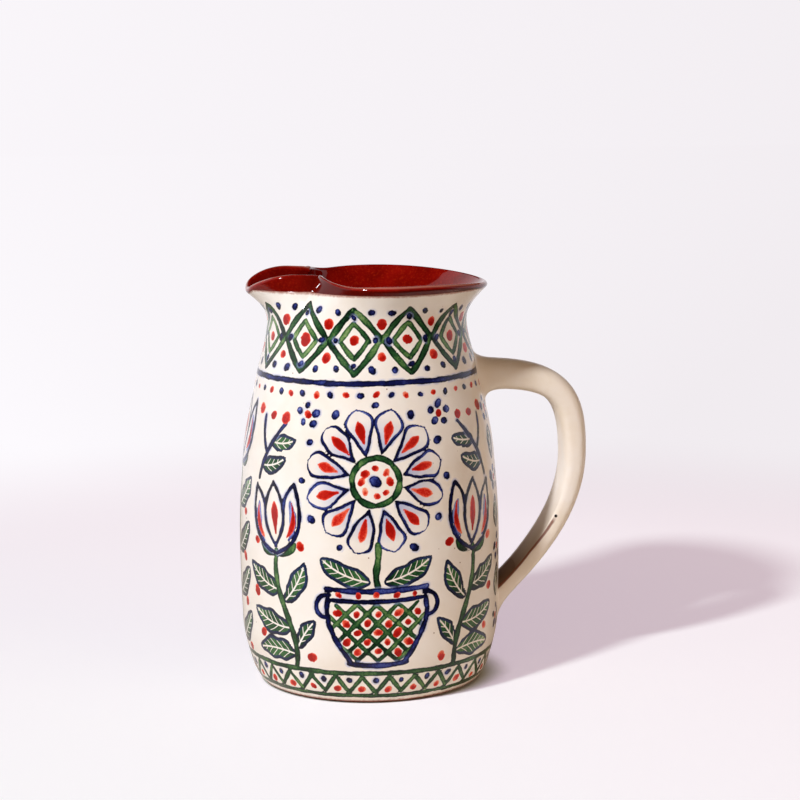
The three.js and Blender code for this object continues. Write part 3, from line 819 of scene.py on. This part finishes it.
for rise, pigment, width in ((154.3, "cobalt", 2.7), (5.0, "copper", 2.6), (17.6, "copper", 2.6)):
    for k in range(LINE_STROKES):
        span = math.tau * np.interp(rise, rises, radii) / LINE_STROKES
        path = [(span * t, 0.5 * math.sin(math.pi * 4 * t)) for t in np.linspace(0, 1, 5)]
        stroke(pigment, (360 / LINE_STROKES * k, rise), path, width, 0.8, "line", 0.15, 0.1)
for k in range(NECK_DOTS):
    dot("iron" if k % 2 else "cobalt", (360 / NECK_DOTS * (k + 0.5), 148.8), 0, 0, 1.6, 0.75)
tooth = math.tau * np.interp(TEETH_RISE, rises, radii) / FOOT_TEETH
for k in range(FOOT_TEETH):
    at = (360 * k / FOOT_TEETH, TEETH_RISE)
    stroke("copper", at, [(0, -4.4), (tooth / 2, 4.4)], 2.3, 0.75, "even", 0.25)
    stroke("copper", at, [(tooth / 2, 4.4), (tooth, -4.4)], 2.3, 0.65, "even", 0.25)
    berry(at, tooth / 2, -2.4, 1.8)
    dot("cobalt", at, 0, 2.6, 1.7, 0.7)

# White slip, brush painting and clear gloss glaze: cream that warms where the slip is thin, and strokes
# with darker pooled edges, paler middles and slightly ragged outlines
painted_slip, coat, place = new_material("painted_white_slip_under_glaze")
cloud = noise(coat, place, 28, 4, Roughness=0.6)
ground = ramp(coat, cloud, [(0.3, "#F4E9DA"), (0.5, "#F8F0E5"), (0.72, "#FAF4EC")])
ground = specked(coat, place, ground, "#8A5E3E", pitch=9, reach=0.05)
grains = (noise(coat, place, 1.6, 3), noise(coat, place, 2.6, 2),
          noise(coat, place, 1.1, 3, Distortion=0.6))
ragged, wobble, streak = (calc(coat, "SUBTRACT", grain, 0.5) for grain in grains)
thin = calc(coat, "MULTIPLY_ADD", ragged, 1.2, stored(coat, "from_edge"))
thin = ranged(coat, thin, 1.0, 0.1, 0.0, 0.8)
ground = mixed(coat, thin, ground, "#9A4A2C")
watery = ranged(coat, noise(coat, place, 7, 2), 0.45, 0.6)

leaf_across = calc(coat, "ABSOLUTE", stored(coat, "leaf_across"))
midrib = ranged(coat, leaf_across, 0.5, 0.3)
vein = calc(coat, "MULTIPLY_ADD", leaf_across, -1.2, stored(coat, "leaf_along"))
vein = ranged(coat, calc(coat, "PINGPONG", vein, 2.0), 0.4, 0.16)
scratched = calc(coat, "MAXIMUM", midrib, vein)
petal_wash = ranged(coat, stored(coat, "petal_along"), 2, 17, 0.75, 0.05)
petal_fill = mixed(coat, petal_wash, ground, "#8C9BCF")
PIGMENTS = {
    "petal": [(0.0, "#8E9CD0"), (0.35, "#38468E"), (0.65, "#141A50"), (1.0, "#080A28")],
    "leaf": [(0.0, "#8FAE78"), (0.35, "#3F6E3C"), (0.65, "#1B4526"), (1.0, "#081E0F")],
    "copper": [(0.0, "#A8BC7C"), (0.35, "#60864A"), (0.65, "#28522C"), (1.0, "#0C2616")],
    "cobalt": [(0.0, "#8E9CD0"), (0.35, "#3A4892"), (0.65, "#151B54"), (1.0, "#080A28")],
    "iron": [(0.0, "#F6A284"), (0.35, "#EC5E42"), (0.65, "#D0261A"), (1.0, "#A81208")],
}
for pigment, stops in PIGMENTS.items():
    edge = calc(coat, "MULTIPLY_ADD", wobble, 0.7, stored(coat, pigment + "_edge"))
    cover = ranged(coat, edge, 0.16, -0.16, eased=True)
    inner, outer = (0.15, -0.3) if pigment == "iron" else (-0.14, 0.28)
    pooled = ranged(coat, edge, -1.0, -0.1, inner, outer)
    depth = calc(coat, "MULTIPLY_ADD", streak, 0.7, stored(coat, pigment + "_load"))
    depth = calc(coat, "ADD", depth, pooled)
    if pigment in ("petal", "cobalt"):
        bleed = times(coat, ranged(coat, edge, 1.1, 0.0, 0, 0.6), watery)
        ground = mixed(coat, bleed, ground, "#93A2DA")
    colour = ramp(coat, depth, stops)
    if pigment in ("petal", "leaf"):
        outline = ranged(coat, edge, -1.9, -1.55, eased=True)
        fill = petal_fill
        if pigment == "leaf":
            fill = mixed(coat, scratched, colour, ground)
            colour = ramp(coat, depth, [(0.2, "#2B3A5C"), (0.9, "#12142E")])
        colour = mixed(coat, outline, fill, colour)
    ground = mixed(coat, cover, ground, colour)
gloss = ranged(coat, cloud, 0.3, 0.7, 0.15, 0.22)
throwing = add(coat, "ShaderNodeMapping", {"Vector": place, "Scale": (1, 1, 4)})
skin = bumped(coat, noise(coat, throwing, 34, 2), 0.25, 1.2)
shaded(coat, ground, gloss, skin, specular=0.4)

bare_slip = lofted("bare slip", slip_rings, painted_slip)
row_share = np.concatenate([FRONT_SHARES, [1], BACK_SHARES, [0]])
from_edge = [min(share, 1 - share) * slip_span for share in row_share]
mark_points(bare_slip.data, "from_edge", np.concatenate(from_edge))
brushed = {}
for pigment, strokes in marks.items():
    strokes = np.vstack(strokes)
    mesh = bpy.data.meshes.new(pigment)
    mesh.from_pydata(strokes[:, :3] * MM, [], [])
    for name, values in zip(("half", "load", "along"), strokes.T[3:6]):
        mark_points(mesh, name, values)
    mesh.attributes.new("side", "FLOAT_VECTOR", "POINT").data.foreach_set(
        "vector", strokes[:, 6:].astype(np.float32).ravel())
    brushed[pigment] = linked(pigment, mesh)

# Each point of the slip takes over what the nearest mark of each pigment knows
laid = {"Material": painted_slip, **brushed}
tree, given = new_tree("lay the painting on the slip", laid)
painted = given["Geometry"]
here = add(tree, "GeometryNodeInputPosition")
for pigment in brushed:
    strokes = add(tree, "GeometryNodeObjectInfo", {"Object": given[pigment]}).outputs["Geometry"]
    nearest = add(tree, "GeometryNodeSampleNearest", {"Geometry": strokes})
    found = {}
    for name in ("half", "load", "along", "side"):
        kind = "FLOAT_VECTOR" if name == "side" else "FLOAT"
        value = add(tree, "GeometryNodeInputNamedAttribute", {"Name": name}, data_type=kind)
        found[name] = sampled(tree, strokes, value, nearest, kind)
    offset = vector(tree, "SUBTRACT", here, sampled(tree, strokes, here, nearest))
    distance = times(tree, vector(tree, "LENGTH", offset), 1 / MM)
    kept = {"edge": calc(tree, "SUBTRACT", distance, found["half"]), "load": found["load"]}
    if pigment in ("leaf", "petal"):
        kept["along"] = found["along"]
    if pigment == "leaf":
        across = vector(tree, "DOT_PRODUCT", offset, found["side"])
        kept["across"] = times(tree, across, 1 / MM)
    for name, value in kept.items():
        inputs = {"Geometry": painted, "Name": f"{pigment}_{name}", "Value": value}
        painted = add(tree, "GeometryNodeStoreNamedAttribute", inputs)
end_tree(tree, painted, given)
painted_mesh = grown("painted slip", bare_slip.data, tree, laid)
for used in (bare_slip, *brushed.values()):
    bpy.data.objects.remove(used)
slip_coat = dressed("slip_coat", painted_mesh, painted_slip)
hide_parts("slip_coat")
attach(slip_coat, "root")

# Glaze lining
# Clear glaze straight on the red clay: poured inside, swilled over the lip and wiped down to the slip
# line. The clay shows through it as a deep wet red, and the throwing rings stand out in its gloss.
LINER_ROWS, BACK_ROWS = 130, 40
LINER_LIP_RINGS, LINER_FLOOR_RINGS = 15, 12
LINER_TUCK = 0.5
EDGE_RISE, EDGE_DEPTH = 0.05, 0.12
BAND_START, BAND_RINGS = 0.4, 5
RING_PITCH = 7.5
RING_DEPTH = 0.16
CALM_UNDER_LIP, CALM_TO_HEIGHT, CALM_FADE = 12, 30, 12
CREST_SHARPNESS = 16
BEAK_ANGLES, BAND_SHADE_DEPTHS = (30, 55), (0.3, 0.85)

bare_band = LIP_Z - slip_top
edge_rise = np.minimum(EDGE_RISE, 0.1 * bare_band)
liner_edge = [under(slip_top - LINER_TUCK, COAT_BACK), under(slip_top + edge_rise, EDGE_DEPTH)]
band_start = np.minimum(BAND_START, 0.25 * bare_band)
liner_band = [under(slip_top + band_start + share * (bare_band - band_start), 0)
              for share in np.linspace(0, 0.9, BAND_RINGS)]
liner_inside = []
for z in np.linspace(LIP_Z, FILLET_TOP, LINER_ROWS):
    calm = np.clip(min(LIP_Z - CALM_UNDER_LIP - z, z - CALM_TO_HEIGHT) / CALM_FADE, 0, 1)
    rings = RING_DEPTH * calm * np.sin(2 * np.pi * z / RING_PITCH + column_turn)
    liner_inside.append(under(z, inner_depth(z, COAT_DEPTH) + rings))
shown = liner_edge + liner_band + lip_rings(COAT_DEPTH, LINER_LIP_RINGS)
shown += liner_inside[1:] + floor_rings(COAT_DEPTH, LINER_FLOOR_RINGS)[1:]
behind = lip_rings(CLAY_PROUD, LIP_RINGS) + inside_rings(CLAY_PROUD, BACK_ROWS)[1:]
behind += floor_rings(CLAY_PROUD, FLOOR_RINGS)[1:]
liner_rings = np.array(behind[::-1] + shown)[:, ::2]

# Clear glaze on red clay: mottled brick red with a hard wet gloss. Along the lip's crest it is paler, a
# painted highlight where the glaze also runs thin, and the band under the lip is darkened as painted
# shade, most away from the beak.
clear_glaze, coat, place = new_material("clear_glaze_on_red_clay")
cloud = noise(coat, place, 16, 4, Roughness=0.6)
red = ramp(coat, cloud, [(0.3, "#680502"), (0.5, "#7D0803"), (0.72, "#8E0E06")])
mottle = ranged(coat, noise(coat, place, 1.0, 4), 0.52, 0.7, 0, 0.25)
red = mixed(coat, mottle, red, "#BC3412")
# Painted highlight along the lip's crest, where the glaze also runs thin
red = mixed(coat, times(coat, stored(coat, "crest"), 0.5), red, "#DC9C86")
# Painted shade: the band under the lip is darkened, more away from the beak
red = mixed(coat, stored(coat, "band"), red, "#4E0B05")
swim = bumped(coat, noise(coat, place, 12, 2), 0.2, 0.5)
shaded(coat, red, 0.06, swim, specular=0.3)

glaze_lining = lofted("glaze_lining", liner_rings, clear_glaze,
                      [(0, 0, FLOOR_THICKNESS + CLAY_PROUD), (0, 0, FLOOR_THICKNESS + COAT_DEPTH)])
# The crest's share sets the painted highlight over the lip
crest_highlight_share = np.zeros(len(liner_rings))
crest_start = len(behind) + len(liner_edge) + len(liner_band)
over_lip = np.linspace(0, np.pi, LINER_LIP_RINGS)
crest_highlight_share[crest_start:crest_start + LINER_LIP_RINGS] = np.sin(over_lip) ** CREST_SHARPNESS
mark_points(glaze_lining.data, "crest", np.repeat(crest_highlight_share, COLUMNS // 2))
# Share of painted shade over the band under the lip, rising from the beak towards the back
band_shade_share = np.zeros(liner_rings.shape[:2])
from_beak = np.abs(np.degrees(column_turn[::2]) - 180)
band_shade_share[len(behind):crest_start + 3] = np.interp(from_beak, BEAK_ANGLES, BAND_SHADE_DEPTHS)
mark_points(glaze_lining.data, "band", band_shade_share.ravel())
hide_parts("glaze_lining")
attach(glaze_lining, "root")

# Floor, light and camera
# A pale seamless floor, one small lamp high at the front left and a large warm reflector at the right.
# The floor's own glow is for the camera alone, so that the background is near white while the jug is lit
# at a plain level. Round the foot the glow fades out, widest on the side away from the key, which paints
# the contact shadow there darker than the lamp alone leaves it.
scene = bpy.context.scene
scene.view_settings.view_transform = "Standard"
DARK_ROOM = linear("#1C1817")
KEY_PLACE = Vector((-745, -654, 893)) * MM
KEY_POWER, KEY_RADIUS = 60, 0.06
REFLECTOR_PLACE = Vector((1150, -1000, 520)) * MM
REFLECTOR_POWER, REFLECTOR_SIZE = 4.2, 1.0
FLOOR_REACH = 6
FLOOR_GLOW = 0.46
FLOOR_FADE = (0.35, 0.7)
SHEET_FRONT = -70 * MM
SHEET_BLUR = 0.06
LEE_OF_KEY = Vector((-KEY_PLACE.x, -KEY_PLACE.y, 0)).normalized()
CONTACT_SHADOW_REACH = (0.8 * MM, 18 * MM)
CAMERA_PLACE = Vector((-143.8, -1023, 299.6)) * MM
CAMERA_PAN, CAMERA_TILT, CAMERA_ROLL = -8.867, 90 - 9.012, -0.534
CAMERA_LENS, CAMERA_SENSOR = 96.96, 36


def background(tree, bearing):
    """The far sweep's colour: near white at the left, a little greyer at the right."""
    return mixed(tree, ranged(tree, bearing, -0.25, 0.45), "#FDFAFE", "#F1ECF0")


# Pale paper: a soft, matt sheet that is near white far away, and dark to the glaze in front of the jug
paper, sweep, place = new_material("pale_paper_sweep")
sweep.nodes.remove(sweep.nodes["Principled BSDF"])
rays = add(sweep, "ShaderNodeLightPath").outputs
reach = ranged(sweep, vector(sweep, "DISTANCE", place, KEY_PLACE), 1.1, 1.6)
evened = mixed(sweep, reach, "#B2BFAF", "#F4FCF2")
tone = mixed(sweep, rays["Is Camera Ray"], "#F4ECE3", evened)
matt = add(sweep, "ShaderNodeBsdfDiffuse", {"Color": tone})
bearing = vector(sweep, "NORMALIZE", place)
distance = vector(sweep, "LENGTH", place)
# Painted contact shadow: the camera glow fades out round the foot, over a reach that grows on the side
# away from the key
lee = vector(sweep, "DOT_PRODUCT", bearing, LEE_OF_KEY)
contact = ranged(sweep, lee, -0.3, 0.6, *CONTACT_SHADOW_REACH)
foot_gap = calc(sweep, "DIVIDE", calc(sweep, "SUBTRACT", distance, TURN_RADII[0] * MM), contact)
clear = ranged(sweep, foot_gap, 0, 1, 0.0, FLOOR_GLOW, eased=True)
lift = times(sweep, rays["Is Camera Ray"], clear)
glow = add(sweep, "ShaderNodeEmission", {"Color": linear("#F9E4FF"), "Strength": lift})
near = add(sweep, "ShaderNodeAddShader", {0: matt, 1: glow})
pale = background(sweep, axes_of(sweep, bearing)["X"])
seen = calc(sweep, "MAXIMUM", rays["Is Camera Ray"], rays["Is Glossy Ray"])
far = add(sweep, "ShaderNodeEmission", {"Color": pale, "Strength": seen})
fade = ranged(sweep, distance, *FLOOR_FADE, eased=True)
surface = add(sweep, "ShaderNodeMixShader", {0: fade, 1: near, 2: far})
room = add(sweep, "ShaderNodeEmission", {"Color": DARK_ROOM})
past_sheet = ranged(sweep, axes_of(sweep, place)["Y"], SHEET_FRONT, SHEET_FRONT - SHEET_BLUR)
past_sheet = times(sweep, past_sheet, rays["Is Glossy Ray"])
surface = add(sweep, "ShaderNodeMixShader", {0: past_sheet, 1: surface, 2: room})
wire(sweep, sweep.nodes["Material Output"], {"Surface": surface})
floor_mesh = bpy.data.meshes.new("floor")
corners = [(x * FLOOR_REACH, y * FLOOR_REACH, 0) for x, y in ((-1, -1), (1, -1), (1, 1), (-1, 1))]
floor_mesh.from_pydata(corners, [], [(0, 1, 2, 3)])
floor_mesh.materials.append(paper)
floor = linked("floor", floor_mesh)

world = bpy.data.worlds.new("pale surround")
world.use_nodes = True
scene.world = world
air = world.node_tree
rays = add(air, "ShaderNodeLightPath").outputs
direction = axes_of(air, add(air, "ShaderNodeTexCoord").outputs["Generated"])
pale = background(air, direction["X"])
top = ranged(air, direction["X"], -0.1, -0.25, 0.25, 0.75)
low = calc(air, "LESS_THAN", direction["Z"], top)
behind = ranged(air, direction["Y"], -0.35, -0.2)
mirrored = mixed(air, times(air, low, behind), DARK_ROOM, pale)
lit = mixed(air, rays["Is Glossy Ray"], "#746559", mirrored)
shown = mixed(air, rays["Is Camera Ray"], lit, pale)
wire(air, air.nodes["Background"], {"Color": shown})

key = bpy.data.lights.new("key", "POINT")
key.energy = KEY_POWER
key.shadow_soft_size = KEY_RADIUS
key.color = linear("#F5F8FF")[:3]
linked("key", key).location = KEY_PLACE

reflector = bpy.data.lights.new("reflector", "AREA")
reflector.energy = REFLECTOR_POWER
reflector.size = REFLECTOR_SIZE
reflector.color = linear("#FFD9B4")[:3]
card = linked("reflector", reflector)
card.location = REFLECTOR_PLACE
card.rotation_euler = REFLECTOR_PLACE.to_track_quat("Z", "Y").to_euler()
card.visible_glossy = False

camera = linked("camera", bpy.data.cameras.new("camera"))
camera.data.lens = CAMERA_LENS
camera.data.sensor_width = CAMERA_SENSOR
turns = [Matrix.Rotation(math.radians(angle), 4, axis)
         for angle, axis in ((CAMERA_PAN, "Z"), (CAMERA_TILT, "X"), (CAMERA_ROLL, "Z"))]
camera.matrix_world = Matrix.Translation(CAMERA_PLACE) @ turns[0] @ turns[1] @ turns[2]
scene.camera = camera
